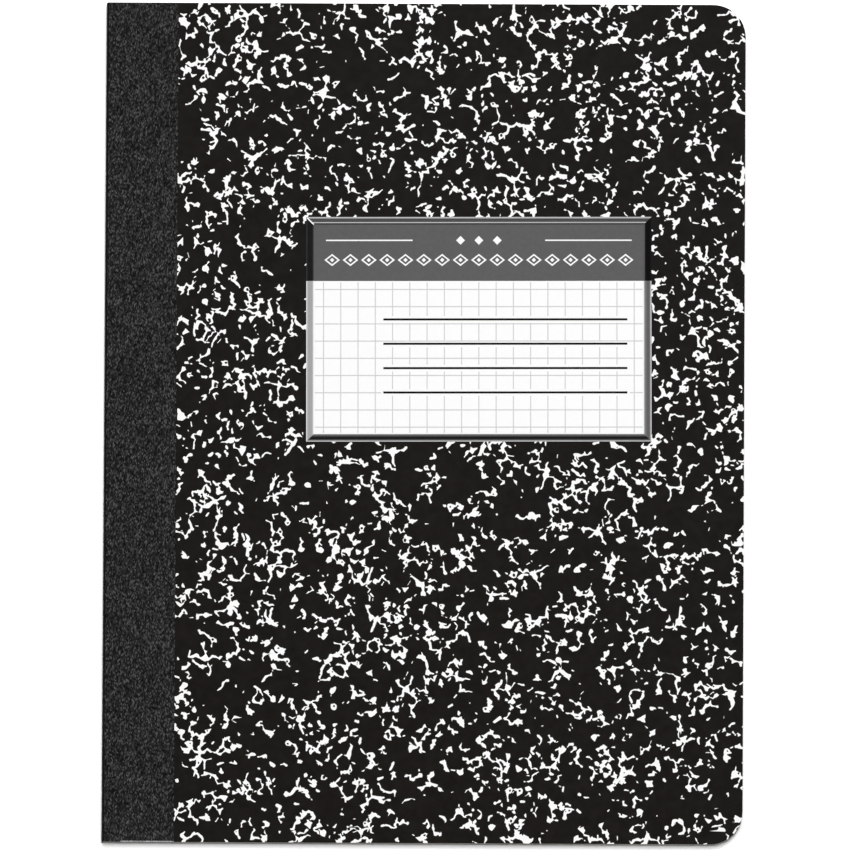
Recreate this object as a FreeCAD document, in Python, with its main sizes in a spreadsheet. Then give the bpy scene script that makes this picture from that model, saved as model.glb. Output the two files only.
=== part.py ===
import FreeCAD, Part
import math
import os
import random

import Sketcher

# A sewn composition notebook, lying on its back cover.
# X runs from the spine to the fore-edge, Y from the tail to the head, Z is up.
# The origin is under the middle of the book, on the surface that it lies on.
# Each cover, with what is on it, is built face up from its inner face at Z 0, and then placed.

# Driving dimensions, in millimetres
DIMENSIONS = {
    "book_length": 247.65,
    "book_width": 188.5,
    "corner_radius": 9.6,
    "sheet_count": 80,
    "sheet_thickness": 0.085,
    "board_thickness": 0.9,
    "spine_swell": 0.4,
    "tape_width": 21.4,
    "tape_thickness": 0.25,
    "thread_diameter": 0.4,
    "thread_clearance": 0.1,
    "stitch_length": 9.0,
    "stitch_margin": 8.0,
    "fold_depth": 3.4,
    "label_width": 101.6,
    "label_height": 66.3,
    "label_thickness": 0.12,
    "label_fore_margin": 27.25,
    "label_head_margin": 63.1,
    "label_turn": 0.28,
    "frame_width": 2.2,
    "frame_bevel": 1.6,
    "frame_height": 0.3,
    "frame_edge": 0.06,
    "header_height": 16.7,
    "ink_thickness": 0.04,
    "dash_length": 25.5,
    "dash_width": 0.4,
    "dash_inset": 3.6,
    "dash_drop": 4.7,
    "lozenge_pitch": 5.4,
    "lozenge_width": 4.6,
    "lozenge_height": 3.6,
    "lozenge_stroke": 0.42,
    "bead_width": 1.3,
    "chain_inset": 2.6,
    "chain_drop": 10.5,
    "grid_pitch": 5.08,
    "grid_line": 0.3,
    "grid_inset": 0.35,
    "grid_drop": 2.5,
    "rule_count": 4,
    "rule_width": 0.62,
    "rule_spacing": 7.19,
    "rule_drop": 11.35,
    "rule_left_gap": 20.5,
    "rule_right_gap": 4.9,
    "rule_margin": 0.7,
    "fleck_reach": 6.4,
    "fleck_least_reach": 4.0,
    "fleck_waist": 1.1,
    "fleck_gap": 2.0,
}

# The random draws behind the marble print of each cover
FRONT_SEED = 5
BACK_SEED = 8
FLECK_TRIES = 2500
FLECK_ARM_COUNTS = (3, 3, 3, 4)

# Heights of the layers, from the surface that the book lies on
PAGES = "(sizes.sheet_count * sizes.sheet_thickness)"
BACK_INNER_Z = "(sizes.ink_thickness + sizes.board_thickness)"
FRONT_INNER_Z = f"({BACK_INNER_Z} + {PAGES})"
TOTAL_Z = f"({FRONT_INNER_Z} + {BACK_INNER_Z})"
MIDDLE_Z = f"({TOTAL_Z} / 2)"

# Places across and along the book, from its middle
SPINE_X = "(-sizes.book_width / 2)"
FORE_X = "(sizes.book_width / 2)"
HINGE_X = f"({SPINE_X} + sizes.spine_swell + sizes.tape_thickness)"
TAPE_EDGE_X = f"({SPINE_X} + sizes.tape_width)"
TAIL_Y = "(-sizes.book_length / 2)"
HEAD_Y = "(sizes.book_length / 2)"

# Places on a face-up cover, where the tape is pressed in until it is level with the ink
TAPE_INSET = "(sizes.tape_thickness - sizes.ink_thickness)"
REBATE_Z = f"(sizes.board_thickness - {TAPE_INSET})"
CARD_TOP_Z = "(sizes.board_thickness + sizes.label_thickness)"
LABEL_X = f"({FORE_X} - sizes.label_fore_margin - sizes.label_width)"
LABEL_Y = f"({HEAD_Y} - sizes.label_head_margin - sizes.label_height)"
INNER_X = f"({LABEL_X} + sizes.frame_width)"
INNER_Y = f"({LABEL_Y} + sizes.frame_width)"
INNER_WIDTH = "(sizes.label_width - 2 * sizes.frame_width)"
INNER_HEIGHT = "(sizes.label_height - 2 * sizes.frame_width)"
FIELD_HEIGHT = f"({INNER_HEIGHT} - sizes.header_height)"
FIELD_TOP_Y = f"({INNER_Y} + {FIELD_HEIGHT})"

# The stitches of the thread, and the channels that it runs in
STITCHES = "floor((sizes.book_length - 2 * sizes.stitch_margin) / sizes.stitch_length)"
STITCH_RUN = f"({STITCHES} * sizes.stitch_length)"
CHANNEL = "(sizes.thread_diameter + 2 * sizes.thread_clearance)"
OUTER_THREAD_X = f"({SPINE_X} + sizes.tape_thickness + {CHANNEL} / 2)"
INNER_THREAD_X = f"({OUTER_THREAD_X} + sizes.fold_depth)"

# The writing rules of the label, and the columns and rows of its light grid
RULE_X = f"({INNER_X} + sizes.rule_left_gap)"
RULE_LENGTH = f"({INNER_WIDTH} - sizes.rule_left_gap - sizes.rule_right_gap)"
GRID_COLUMNS = f"floor({INNER_WIDTH} / sizes.grid_pitch)"
GRID_ROWS = f"(floor(({FIELD_HEIGHT} - sizes.grid_drop) / sizes.grid_pitch) + 1)"

SAME_PLACE = 1e-6
BOX_SIDES = ("Length", "Width", "Height")
THREAD_SIDE_COUNT = 8


def make_sheet(doc):
    """The spreadsheet of driving dimensions, one named cell each."""
    sheet = doc.addObject("Spreadsheet::Sheet", "sizes")
    for row, (name, value) in enumerate(DIMENSIONS.items(), start=1):
        sheet.set(f"A{row}", name)
        sheet.set(f"B{row}", str(value))
        sheet.setAlias(f"B{row}", name)
    doc.recompute()
    return sheet


def value_of(sheet, expression):
    """The number that an expression comes to."""
    return float(sheet.evalExpression(expression))


def origin_feature(body, role):
    """One of the body's own origin planes or axes."""
    return next(f for f in body.Origin.OriginFeatures if f.Role == role)


def new_body(doc, label):
    """An empty body, which may hold several separate solids."""
    body = doc.addObject("PartDesign::Body", label)
    body.Label = label
    body.AllowCompound = True
    return body


def new_sketch(body, name, plane, height=None):
    """A sketch on one of the body's origin planes, or at a height over it."""
    sketch = body.newObject("Sketcher::SketchObject", name)
    sketch.AttachmentSupport = (origin_feature(body, plane), [""])
    sketch.MapMode = "FlatFace"
    if height:
        sketch.setExpression("AttachmentOffset.Base.z", height)
    return sketch


def bind(sketch, name, constraint, expression):
    """Adds a named constraint whose size follows an expression."""
    sketch.renameConstraint(sketch.addConstraint(constraint), name)
    sketch.setExpression(f"Constraints.{name}", expression)


def end_at(sketch, side, point):
    """Which end of a side lies at a point: 1 is its start and 2 its end."""
    gaps = {i: sketch.getPoint(side, i).distanceToPoint(point) for i in (1, 2)}
    return min(gaps, key=gaps.get)


def add_outline(sheet, sketch, corners, arcs=None):
    """A closed outline through corners, each a pair of expressions.

    A side is straight unless arcs holds its number, with a point on the arc and its radius.
    """
    arcs = arcs or {}
    points = [
        FreeCAD.Vector(value_of(sheet, x), value_of(sheet, y), 0) for x, y in corners
    ]
    count = len(points)
    for i, point in enumerate(points):
        after = points[(i + 1) % count]
        if i in arcs:
            x, y, radius = arcs[i]
            middle = FreeCAD.Vector(value_of(sheet, x), value_of(sheet, y), 0)
            sketch.addGeometry(Part.Arc(point, middle, after), False)
            limit = Sketcher.Constraint("Radius", i, value_of(sheet, radius))
            bind(sketch, f"radius_{i}", limit, radius)
        else:
            sketch.addGeometry(Part.LineSegment(point, after), False)
    for i, (point, corner) in enumerate(zip(points, corners)):
        before = (i - 1) % count
        mine = end_at(sketch, i, point)
        theirs = end_at(sketch, before, point)
        sketch.addConstraint(Sketcher.Constraint("Coincident", before, theirs, i, mine))
        across = Sketcher.Constraint("DistanceX", -1, 1, i, mine, point.x)
        along = Sketcher.Constraint("DistanceY", -1, 1, i, mine, point.y)
        bind(sketch, f"across_{i}", across, corner[0])
        bind(sketch, f"along_{i}", along, corner[1])


def add_rectangle(sheet, sketch, left, bottom, width, height):
    """A rectangle from its lower left corner."""
    right = f"{left} + {width}"
    top = f"{bottom} + {height}"
    corners = [(left, bottom), (right, bottom), (right, top), (left, top)]
    add_outline(sheet, sketch, corners)


def add_pad(body, sketch, name, length, symmetric=False):
    """A pad whose length follows an expression."""
    pad = body.newObject("PartDesign::Pad", name)
    pad.Profile = sketch
    pad.SideType = "Symmetric" if symmetric else "One side"
    pad.setExpression("Length", length)
    body.Document.recompute()
    return pad


def add_pocket(body, sketch, name, depth, symmetric=False):
    """A pocket whose depth follows an expression. It has to take something away."""
    before = body.Shape.Volume
    pocket = body.newObject("PartDesign::Pocket", name)
    pocket.Profile = sketch
    pocket.SideType = "Symmetric" if symmetric else "One side"
    pocket.setExpression("Length", depth)
    body.Document.recompute()
    if body.Shape.Volume >= before:
        raise RuntimeError(f"{name} cuts nothing from {body.Label}")
    return pocket


def add_channel(body, name, lengths, place):
    """A square channel for the thread. Each of its lengths is centred on its place."""
    channel = body.newObject("PartDesign::SubtractiveBox", name)
    for side, axis, length, middle in zip(BOX_SIDES, "xyz", lengths, place):
        channel.setExpression(side, length)
        channel.setExpression(f"Placement.Base.{axis}", f"{middle} - {length} / 2")
    body.Document.recompute()
    return channel


def add_pattern(body, feature, name, axis, spacing, count, backwards=False):
    """Copies of a feature along one of the body's axes."""
    pattern = body.newObject("PartDesign::LinearPattern", name)
    pattern.Originals = [feature]
    pattern.Direction = (origin_feature(body, axis), [""])
    pattern.Reversed = backwards
    pattern.setExpression("Occurrences", count)
    pattern.setExpression("Length", f"{spacing} * ({count} - 1)")
    body.Tip = pattern
    body.Document.recompute()
    return pattern


def round_fore_corners(body, feature):
    """Rounds the two upright corners at the fore-edge, as the trimmed book has them."""
    reach = feature.Shape.BoundBox.XMax
    names = []
    for i, edge in enumerate(feature.Shape.Edges, start=1):
        box = edge.BoundBox
        upright = box.XLength < SAME_PLACE and box.YLength < SAME_PLACE
        if upright and abs(box.XMax - reach) < SAME_PLACE:
            names.append(f"Edge{i}")
    fillet = body.newObject("PartDesign::Fillet", "fore_corners")
    fillet.Base = (feature, names)
    fillet.setExpression("Radius", "sizes.corner_radius")
    body.Document.recompute()
    return fillet


def place_on_front(part, height="0"):
    """Lays what was built on a face-up cover onto the page block."""
    part.setExpression("Placement.Base.z", f"{FRONT_INNER_Z} + {height}")


def place_on_back(part, height="0"):
    """Turns what was built on a face-up cover over, and lays it under the page block."""
    turn = FreeCAD.Rotation(FreeCAD.Vector(1, 0, 0), 180)
    part.Placement = FreeCAD.Placement(FreeCAD.Vector(), turn)
    part.setExpression("Placement.Base.z", f"{BACK_INNER_Z} - {height}")


def swollen_side(x, low, high):
    """A side that swells towards the spine between two heights: its middle and its radius."""
    chord = f"({high} - {low})"
    radius = f"(({chord} * {chord} / 4 + sizes.spine_swell^2) / (2 * sizes.spine_swell))"
    return f"{x} - sizes.spine_swell", f"({low} + {high}) / 2", radius


def make_page_block(doc, sheet):
    """All the sheets as one solid, with the channels and needle holes of the thread."""
    body = new_body(doc, "page_block")
    section = new_sketch(body, "block_section", "XZ_Plane")
    corners = [
        (HINGE_X, BACK_INNER_Z),
        (FORE_X, BACK_INNER_Z),
        (FORE_X, FRONT_INNER_Z),
        (HINGE_X, FRONT_INNER_Z),
    ]
    arcs = {3: swollen_side(HINGE_X, BACK_INNER_Z, FRONT_INNER_Z)}
    add_outline(sheet, section, corners, arcs)
    sheets = add_pad(body, section, "sheets", "sizes.book_length", symmetric=True)
    round_fore_corners(body, sheets)

    slot_x = f"({OUTER_THREAD_X} - sizes.tape_thickness / 2)"
    slot_width = f"({CHANNEL} + sizes.tape_thickness)"
    slot_length = f"({STITCH_RUN} + {CHANNEL})"
    add_channel(
        body,
        "thread_slot",
        (slot_width, slot_length, CHANNEL),
        (slot_x, "0", MIDDLE_Z),
    )
    add_channel(
        body,
        "fold_channel",
        (CHANNEL, slot_length, CHANNEL),
        (INNER_THREAD_X, "0", MIDDLE_Z),
    )
    hole = add_channel(
        body,
        "needle_hole",
        ("sizes.fold_depth", CHANNEL, CHANNEL),
        (f"({OUTER_THREAD_X} + sizes.fold_depth / 2)", f"(-{STITCH_RUN} / 2)", MIDDLE_Z),
    )
    count = f"({STITCHES} + 1)"
    add_pattern(body, hole, "needle_holes", "Y_Axis", "sizes.stitch_length", count)


def polygon_about(centre, radius, sides):
    """A closed polygon about a point, square to the X axis, as wide over its flats as a circle."""
    reach = radius / math.cos(math.pi / sides)
    points = []
    for i in range(sides):
        angle = (2 * i + 1) * math.pi / sides
        side_step = FreeCAD.Vector(0, reach * math.cos(angle), reach * math.sin(angle))
        points.append(centre + side_step)
    return Part.makePolygon(points + points[:1])


def make_thread(doc, sheet):
    """One thread that runs in and out through the needle holes of the fold."""
    outside = value_of(sheet, OUTER_THREAD_X)
    inside = value_of(sheet, INNER_THREAD_X)
    height = value_of(sheet, MIDDLE_Z)
    pitch = value_of(sheet, "sizes.stitch_length")
    radius = value_of(sheet, "sizes.thread_diameter") / 2
    stitches = round(value_of(sheet, STITCHES))
    points = []
    for i in range(stitches + 1):
        y = (i - stitches / 2) * pitch
        crossing = (inside, outside) if i % 2 == 0 else (outside, inside)
        points += [FreeCAD.Vector(x, y, height) for x in crossing]
    path = Part.makePolygon(points)
    section = polygon_about(points[0], radius, THREAD_SIDE_COUNT)
    mitred_corners = 1
    thread = doc.addObject("Part::Feature", "sewing_thread")
    thread.Label = "sewing_thread"
    thread.Shape = path.makePipeShell([section], True, False, mitred_corners)


def make_cover(doc, sheet, label, place):
    """A pasteboard cover, pressed in under the tape."""
    body = new_body(doc, label)
    outline = new_sketch(body, "cover_outline", "XY_Plane")
    width = f"({FORE_X} - {HINGE_X})"
    add_rectangle(sheet, outline, HINGE_X, TAIL_Y, width, "sizes.book_length")
    board = add_pad(body, outline, "board", "sizes.board_thickness")
    round_fore_corners(body, board)
    rebate = new_sketch(body, "rebate_outline", "XY_Plane", "sizes.board_thickness")
    taped = f"({TAPE_EDGE_X} - {HINGE_X})"
    add_rectangle(sheet, rebate, HINGE_X, TAIL_Y, taped, "sizes.book_length")
    add_pocket(body, rebate, "tape_rebate", TAPE_INSET)
    place(body)


def make_tape_flap(doc, sheet, label, place):
    """The stretch of the cloth tape that is glued to one cover."""
    body = new_body(doc, label)
    outline = new_sketch(body, "flap_outline", "XY_Plane", REBATE_Z)
    taped = f"({TAPE_EDGE_X} - {HINGE_X})"
    add_rectangle(sheet, outline, HINGE_X, TAIL_Y, taped, "sizes.book_length")
    add_pad(body, outline, "flap", "sizes.tape_thickness")
    place(body)


def make_spine_tape(doc, sheet):
    """The stretch of the cloth tape over the spine.

    Its inner side lies on the boards' ends and the block. Its outer corners are as round as
    the cloth is thick, so they stay under the covers as these open flat.
    """
    body = new_body(doc, "spine_tape")
    section = new_sketch(body, "tape_section", "XZ_Plane")
    outer_x = f"({HINGE_X} - sizes.tape_thickness)"
    lower_z = "sizes.tape_thickness"
    upper_z = f"({TOTAL_Z} - sizes.tape_thickness)"
    turn = math.sqrt(0.5)
    turn_x = f"{HINGE_X} - {turn} * sizes.tape_thickness"
    corners = [
        (HINGE_X, "0"),
        (HINGE_X, BACK_INNER_Z),
        (HINGE_X, FRONT_INNER_Z),
        (HINGE_X, TOTAL_Z),
        (outer_x, upper_z),
        (outer_x, lower_z),
    ]
    arcs = {
        1: swollen_side(HINGE_X, BACK_INNER_Z, FRONT_INNER_Z),
        3: (turn_x, f"{upper_z} + {turn} * {lower_z}", "sizes.tape_thickness"),
        4: swollen_side(outer_x, lower_z, upper_z),
        5: (turn_x, f"{lower_z} - {turn} * {lower_z}", "sizes.tape_thickness"),
    }
    add_outline(sheet, section, corners, arcs)
    add_pad(body, section, "tape", "sizes.book_length", symmetric=True)


def make_box(doc, label, corner, size):
    """A box from its lowest corner, each size given as an expression."""
    box = doc.addObject("Part::Box", label)
    box.Label = label
    for side, expression in zip(BOX_SIDES, size):
        box.setExpression(side, expression)
    for axis, expression in zip("xyz", corner):
        box.setExpression(f"Placement.Base.{axis}", expression)
    return box


def turn_with_label(part):
    """Binds a part's turn, about the middle of the book, to the slight turn of the label."""
    part.setExpression("Placement.Rotation.Angle", "sizes.label_turn")


def turned_place(x, y):
    """Where the label's turn takes a place, as two expressions."""
    across, along = "cos(sizes.label_turn)", "sin(sizes.label_turn)"
    return f"({x}) * {across} - ({y}) * {along}", f"({x}) * {along} + ({y}) * {across}"


def make_label_card(doc):
    """The white paper label, pasted onto the front cover."""
    corner = (*turned_place(LABEL_X, LABEL_Y), f"{FRONT_INNER_Z} + sizes.board_thickness")
    size = ("sizes.label_width", "sizes.label_height", "sizes.label_thickness")
    turn_with_label(make_box(doc, "label_card", corner, size))


def make_label_frame(doc):
    """The label's bevelled frame, mitred at its corners."""
    card_top = f"({FRONT_INNER_Z} + {CARD_TOP_Z})"
    edge = make_box(
        doc,
        "frame_land",
        (LABEL_X, LABEL_Y, card_top),
        ("sizes.label_width", "sizes.label_height", "sizes.frame_edge"),
    )
    bevel = doc.addObject("Part::Wedge", "frame_slope")
    # A wedge tapers along its own Y, which stands upright here
    upright = FreeCAD.Rotation(FreeCAD.Vector(1, 0, 0), 90)
    bevel.Placement = FreeCAD.Placement(FreeCAD.Vector(), upright)
    bevel_sizes = {
        "Xmin": "0",
        "Xmax": "sizes.label_width",
        "Zmin": "0",
        "Zmax": "sizes.label_height",
        "Ymin": "0",
        "Ymax": "sizes.frame_height - sizes.frame_edge",
        "X2min": "sizes.frame_bevel",
        "X2max": "sizes.label_width - sizes.frame_bevel",
        "Z2min": "sizes.frame_bevel",
        "Z2max": "sizes.label_height - sizes.frame_bevel",
        "Placement.Base.x": LABEL_X,
        "Placement.Base.y": f"{LABEL_Y} + sizes.label_height",
        "Placement.Base.z": f"{card_top} + sizes.frame_edge",
    }
    for name, expression in bevel_sizes.items():
        bevel.setExpression(name, expression)
    blank = doc.addObject("Part::Fuse", "frame_blank")
    blank.Base = edge
    blank.Tool = bevel
    opening = make_box(
        doc,
        "frame_opening",
        (INNER_X, INNER_Y, card_top),
        (INNER_WIDTH, INNER_HEIGHT, "sizes.frame_height"),
    )
    frame = doc.addObject("Part::Cut", "label_frame")
    frame.Label = "label_frame"
    frame.Base = blank
    frame.Tool = opening
    turn_with_label(frame)


def make_label_header(doc):
    """The dark grey band across the top of the label."""
    corner = (*turned_place(INNER_X, FIELD_TOP_Y), f"{FRONT_INNER_Z} + {CARD_TOP_Z}")
    size = (INNER_WIDTH, "sizes.header_height", "sizes.ink_thickness")
    turn_with_label(make_box(doc, "label_header", corner, size))


def lozenge(x, y, width, height):
    """A flat lozenge about a centre."""
    corners = [(width / 2, 0), (0, height / 2), (-width / 2, 0), (0, -height / 2)]
    points = [FreeCAD.Vector(x + dx, y + dy, 0) for dx, dy in corners]
    return Part.Face(Part.makePolygon(points + points[:1]))


def make_header_marks(doc, sheet):
    """White marks on the header: a dash each side of three beads, over a chain of lozenges."""

    def size(name):
        return value_of(sheet, f"sizes.{name}")

    left = value_of(sheet, INNER_X)
    width = value_of(sheet, INNER_WIDTH)
    top = value_of(sheet, f"{INNER_Y} + {INNER_HEIGHT}")
    middle = left + width / 2
    bead = size("bead_width")
    faces = []
    dash_y = top - size("dash_drop")
    dash_low = dash_y - size("dash_width") / 2
    right_dash = left + width - size("dash_inset") - size("dash_length")
    for x in (left + size("dash_inset"), right_dash):
        corner = FreeCAD.Vector(x, dash_low, 0)
        faces.append(Part.makePlane(size("dash_length"), size("dash_width"), corner))
    pitch = size("lozenge_pitch")
    for i in (-1, 0, 1):
        faces.append(lozenge(middle + i * pitch, dash_y, 2 * bead, 2 * bead))

    chain_y = top - size("chain_drop")
    count = int((width - 2 * size("chain_inset")) / pitch)
    stroke = size("lozenge_stroke")
    wide = size("lozenge_width")
    tall = size("lozenge_height")
    # Lozenge sides a stroke thick, measured square to the side
    inner_scale = 1 - 2 * stroke * math.hypot(wide, tall) / (wide * tall)
    for i in range(count):
        x = middle + (i - (count - 1) / 2) * pitch
        outer = lozenge(x, chain_y, wide, tall)
        inner = lozenge(x, chain_y, wide * inner_scale, tall * inner_scale)
        faces += [outer.cut(inner), lozenge(x, chain_y, bead, bead)]

    marks = doc.addObject("Part::Feature", "label_header_marks")
    marks.Label = "label_header_marks"
    thickness = FreeCAD.Vector(0, 0, size("ink_thickness"))
    marks.Shape = Part.makeCompound([solid_of(face, thickness) for face in faces])
    place_on_front(marks, f"{CARD_TOP_Z} + sizes.ink_thickness")
    turn_with_label(marks)


def solid_of(face, thickness):
    """The one solid that a flat face sweeps."""
    return face.extrude(thickness).Solids[0]


def make_label_rules(doc, sheet):
    """The black writing rules of the label."""
    body = new_body(doc, "label_rules")
    outline = new_sketch(body, "rule_outline", "XY_Plane", CARD_TOP_Z)
    bottom = f"({FIELD_TOP_Y} - sizes.rule_drop - sizes.rule_width / 2)"
    add_rectangle(sheet, outline, RULE_X, bottom, RULE_LENGTH, "sizes.rule_width")
    rule = add_pad(body, outline, "rule", "sizes.ink_thickness")
    count = "sizes.rule_count"
    spacing = "sizes.rule_spacing"
    add_pattern(body, rule, "rules", "Y_Axis", spacing, count, backwards=True)
    place_on_front(body)
    turn_with_label(body)


def pieces_between(low, high, breaks):
    """The stretches of a line from low to high that its breaks leave, as (start, end)."""
    pieces = []
    for start, end in sorted(breaks):
        if start > low:
            pieces.append((low, min(start, high)))
        low = max(low, end)
    if low < high:
        pieces.append((low, high))
    return pieces


def make_label_grid(doc, sheet):
    """The light square grid of the label: columns, and rows that lie across them.

    The columns stop short of each black rule, and a row that meets a rule stops at its ends.
    """

    def size(name):
        return value_of(sheet, f"sizes.{name}")

    inset = size("grid_inset")
    pitch = size("grid_pitch")
    line = size("grid_line")
    ink = size("ink_thickness")
    margin = size("rule_margin")
    half_rule = size("rule_width") / 2
    left = value_of(sheet, INNER_X) + inset
    right = left + value_of(sheet, INNER_WIDTH) - 2 * inset
    low = value_of(sheet, INNER_Y) + inset
    field_top = value_of(sheet, FIELD_TOP_Y)
    high = field_top - inset
    rule_left = value_of(sheet, RULE_X)
    rule_right = rule_left + value_of(sheet, RULE_LENGTH)
    rules = [
        field_top - size("rule_drop") - i * size("rule_spacing")
        for i in range(round(size("rule_count")))
    ]
    strips = []
    columns = round(value_of(sheet, GRID_COLUMNS))
    for i in range(columns):
        x = (left + right - line) / 2 + (i - (columns - 1) / 2) * pitch
        breaks = []
        if rule_left - margin < x + line and x < rule_right + margin:
            reach = half_rule + margin
            breaks = [(y - reach, y + reach) for y in rules]
        for start, end in pieces_between(low, high, breaks):
            corner = FreeCAD.Vector(x, start, 0)
            strips.append(Part.makeBox(line, end - start, ink, corner))
    for i in range(round(value_of(sheet, GRID_ROWS))):
        y = field_top - size("grid_drop") - i * pitch
        meets = any(abs(y - rule) < half_rule + line for rule in rules)
        breaks = [(rule_left - margin, rule_right + margin)] if meets else []
        for start, end in pieces_between(left, right, breaks):
            corner = FreeCAD.Vector(start, y - line / 2, ink)
            strips.append(Part.makeBox(end - start, line, ink, corner))
    grid = doc.addObject("Part::Feature", "label_grid")
    grid.Label = "label_grid"
    grid.Shape = Part.makeCompound(strips)
    place_on_front(grid, CARD_TOP_Z)
    turn_with_label(grid)


def fleck_outline(draw, x, y, reach, waist):
    """A star-like fleck with a few uneven arms, as white paper left between drops of black."""
    arms = draw.choice(FLECK_ARM_COUNTS)
    start = draw.uniform(0, 2 * math.pi)
    points = []
    for i in range(2 * arms):
        angle = start + (i + draw.uniform(-0.3, 0.3)) * math.pi / arms
        radius = reach * draw.uniform(0.65, 1.0) if i % 2 == 0 else waist
        points.append(
            FreeCAD.Vector(x + radius * math.cos(angle), y + radius * math.sin(angle), 0)
        )
    return Part.Face(Part.makePolygon(points + points[:1]))


def scatter_flecks(draw, low, high, sizes):
    """Flecks strewn over a rectangle, each clear of the ones before it."""
    placed = []
    flecks = []
    for _ in range(FLECK_TRIES):
        reach = draw.uniform(sizes["least_reach"], sizes["reach"])
        x = draw.uniform(low[0], high[0])
        y = draw.uniform(low[1], high[1])
        clear = reach + sizes["gap"]
        if all(math.hypot(x - u, y - v) > clear + r for u, v, r in placed):
            placed.append((x, y, reach))
            flecks.append(fleck_outline(draw, x, y, reach, sizes["waist"]))
    return flecks


def print_area(sheet, label_here):
    """The flat face of a cover that tape and label leave bare."""
    left = value_of(sheet, TAPE_EDGE_X)
    right = value_of(sheet, FORE_X)
    low = value_of(sheet, TAIL_Y)
    high = value_of(sheet, HEAD_Y)
    radius = value_of(sheet, "sizes.corner_radius")
    turn = radius * (1 - math.sqrt(0.5))

    def at(x, y):
        return FreeCAD.Vector(x, y, 0)

    edges = [
        Part.LineSegment(at(left, high), at(left, low)),
        Part.LineSegment(at(left, low), at(right - radius, low)),
        Part.Arc(
            at(right - radius, low), at(right - turn, low + turn), at(right, low + radius)
        ),
        Part.LineSegment(at(right, low + radius), at(right, high - radius)),
        Part.Arc(
            at(right, high - radius), at(right - turn, high - turn), at(right - radius, high)
        ),
        Part.LineSegment(at(right - radius, high), at(left, high)),
    ]
    area = Part.Face(Part.Wire([edge.toShape() for edge in edges]))
    if label_here:
        corner = at(value_of(sheet, LABEL_X), value_of(sheet, LABEL_Y))
        across = value_of(sheet, "sizes.label_width")
        along = value_of(sheet, "sizes.label_height")
        window = Part.makePlane(across, along, corner)
        window.rotate(at(0, 0), FreeCAD.Vector(0, 0, 1), value_of(sheet, "sizes.label_turn"))
        area = area.cut(window)
    return area


def make_marbling(doc, sheet, label, seed, place, label_here):
    """The white flecks of the marble print, over all of a cover that tape and label leave bare."""
    low = (value_of(sheet, TAPE_EDGE_X), value_of(sheet, TAIL_Y))
    high = (value_of(sheet, FORE_X), value_of(sheet, HEAD_Y))
    names = ("least_reach", "reach", "waist", "gap")
    sizes = {name: value_of(sheet, f"sizes.fleck_{name}") for name in names}
    flecks = scatter_flecks(random.Random(seed), low, high, sizes)
    area = print_area(sheet, label_here)
    border = Part.makeCompound(area.Wires)
    thickness = FreeCAD.Vector(0, 0, value_of(sheet, "sizes.ink_thickness"))
    faces = []
    for fleck in flecks:
        if fleck.distToShape(border)[0] < SAME_PLACE:
            faces += fleck.common(area).Faces
        elif area.distToShape(fleck)[0] < SAME_PLACE:
            faces.append(fleck)
    marbling = doc.addObject("Part::Feature", label)
    marbling.Label = label
    marbling.Shape = Part.makeCompound([solid_of(face, thickness) for face in faces])
    place(marbling, "sizes.board_thickness")


NODES = (
    "page_block",
    "sewing_thread",
    "spine_tape",
    "front_cover",
    "front_tape_flap",
    "front_marbling",
    "label_card",
    "label_frame",
    "label_header",
    "label_header_marks",
    "label_rules",
    "label_grid",
    "back_cover",
    "back_tape_flap",
    "back_marbling",
)


def build(doc):
    """Makes every sub-part of the book."""
    sheet = make_sheet(doc)
    make_page_block(doc, sheet)
    make_thread(doc, sheet)
    make_spine_tape(doc, sheet)
    make_cover(doc, sheet, "front_cover", place_on_front)
    make_cover(doc, sheet, "back_cover", place_on_back)
    make_tape_flap(doc, sheet, "front_tape_flap", place_on_front)
    make_tape_flap(doc, sheet, "back_tape_flap", place_on_back)
    make_label_card(doc)
    make_label_frame(doc)
    make_label_header(doc)
    make_header_marks(doc, sheet)
    make_label_rules(doc, sheet)
    make_label_grid(doc, sheet)
    make_marbling(doc, sheet, "front_marbling", FRONT_SEED, place_on_front, True)
    make_marbling(doc, sheet, "back_marbling", BACK_SEED, place_on_back, False)
    doc.recompute()


def check(doc):
    """Stops if an object failed or a sub-part's shape is empty or not valid."""
    for item in doc.Objects:
        if {"Invalid", "Error"} & set(item.State):
            raise RuntimeError(f"{item.Name} is {item.State}")
    for name in NODES:
        shape = doc.getObject(name).Shape
        if shape.isNull() or not shape.isValid() or shape.Volume <= 0:
            raise RuntimeError(f"{name} has no valid shape")


def export(doc):
    """Writes each sub-part to a file of its own, named by its label."""
    os.makedirs("parts", exist_ok=True)
    for name in NODES:
        part = doc.getObject(name)
        part.Shape.exportStep(f"parts/{part.Label}.step")
        box = part.Shape.BoundBox
        print(
            f"{part.Label}: {len(part.Shape.Solids)} solids, {part.Shape.Volume:.2f} mm3,"
            f" X {box.XMin:.2f} to {box.XMax:.2f}, Y {box.YMin:.2f} to {box.YMax:.2f},"
            f" Z {box.ZMin:.3f} to {box.ZMax:.3f}"
        )


document = FreeCAD.newDocument("composition_notebook")
build(document)
check(document)
export(document)
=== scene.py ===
import math
import random

import bmesh
import bpy
import numpy as np
from mathutils import Matrix, Vector
from mathutils.geometry import delaunay_2d_cdt, tessellate_polygon


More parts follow.
